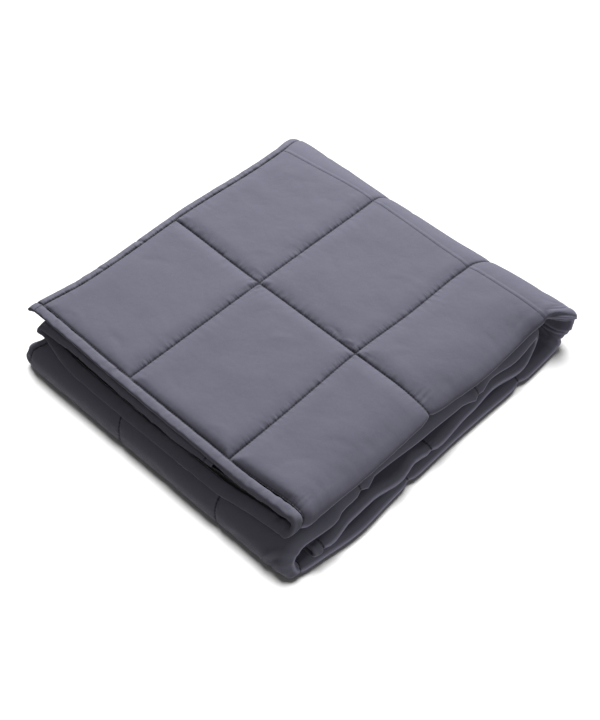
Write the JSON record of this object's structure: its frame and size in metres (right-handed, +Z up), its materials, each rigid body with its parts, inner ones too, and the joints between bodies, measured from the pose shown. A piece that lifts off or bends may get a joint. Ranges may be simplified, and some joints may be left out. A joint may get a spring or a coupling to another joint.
{
  "type": "folded weighted blanket",
  "caption": "Grey quilted weighted blanket with bound edges, folded in three across and rolled flat lengthways into a low square stack.",
  "frame": {"origin": "on the surface that the folded blanket rests on, under the middle of its box", "axes": "+Z up; +X across the fold, from the bound side to the closed side; +Y from the loose end to the closed far end"},
  "size_m": [0.4752, 0.5016, 0.0971],
  "materials": {
    "quilt_cotton": "matt plain-weave cotton, grey with a violet cast",
    "binding_cotton": "matt plain-weave cotton, the same cloth as the quilt"
  },
  "bodies": {
    "root": {"quilt": "quilt_cotton", "binding_loose_end": "binding_cotton", "binding_inner_end": "binding_cotton", "binding_outer_side": "binding_cotton", "binding_flap_side": "binding_cotton"}
  },
  "joints": []
}
